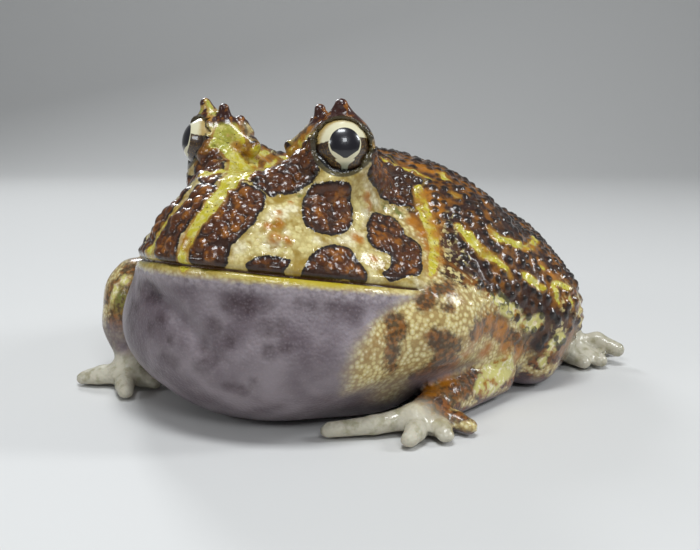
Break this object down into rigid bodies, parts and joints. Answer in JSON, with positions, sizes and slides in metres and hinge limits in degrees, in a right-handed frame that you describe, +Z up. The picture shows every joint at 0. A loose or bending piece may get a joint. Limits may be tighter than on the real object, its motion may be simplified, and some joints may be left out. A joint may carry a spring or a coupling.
{
  "type": "horned frog model",
  "caption": "Life-size still model of an Argentine horned frog squatting with its mouth shut, in separate head, jaw, throat, trunk and limb pieces.",
  "frame": {"origin": "middle of the footprint's box, on the floor", "axes": "+Z up; the frog faces -Y and its left side is +X"},
  "size_m": [0.112, 0.11, 0.0634],
  "materials": {
    "skin": "wet, warty, blotched dark brown on yellow and cream",
    "eye": "polished, opaque"
  },
  "bodies": {
    "root": {"head": "skin", "lower_jaw": "skin", "throat": "skin", "torso": "skin", "horned_eyelid_left": "skin", "horned_eyelid_right": "skin", "eye_left": "eye", "eye_right": "eye", "upper_arm_left": "skin", "upper_arm_right": "skin", "forearm_left": "skin", "forearm_right": "skin", "hand_left": "skin", "hand_right": "skin", "thigh_left": "skin", "thigh_right": "skin", "shin_left": "skin", "shin_right": "skin", "foot_left": "skin", "foot_right": "skin"}
  },
  "joints": []
}
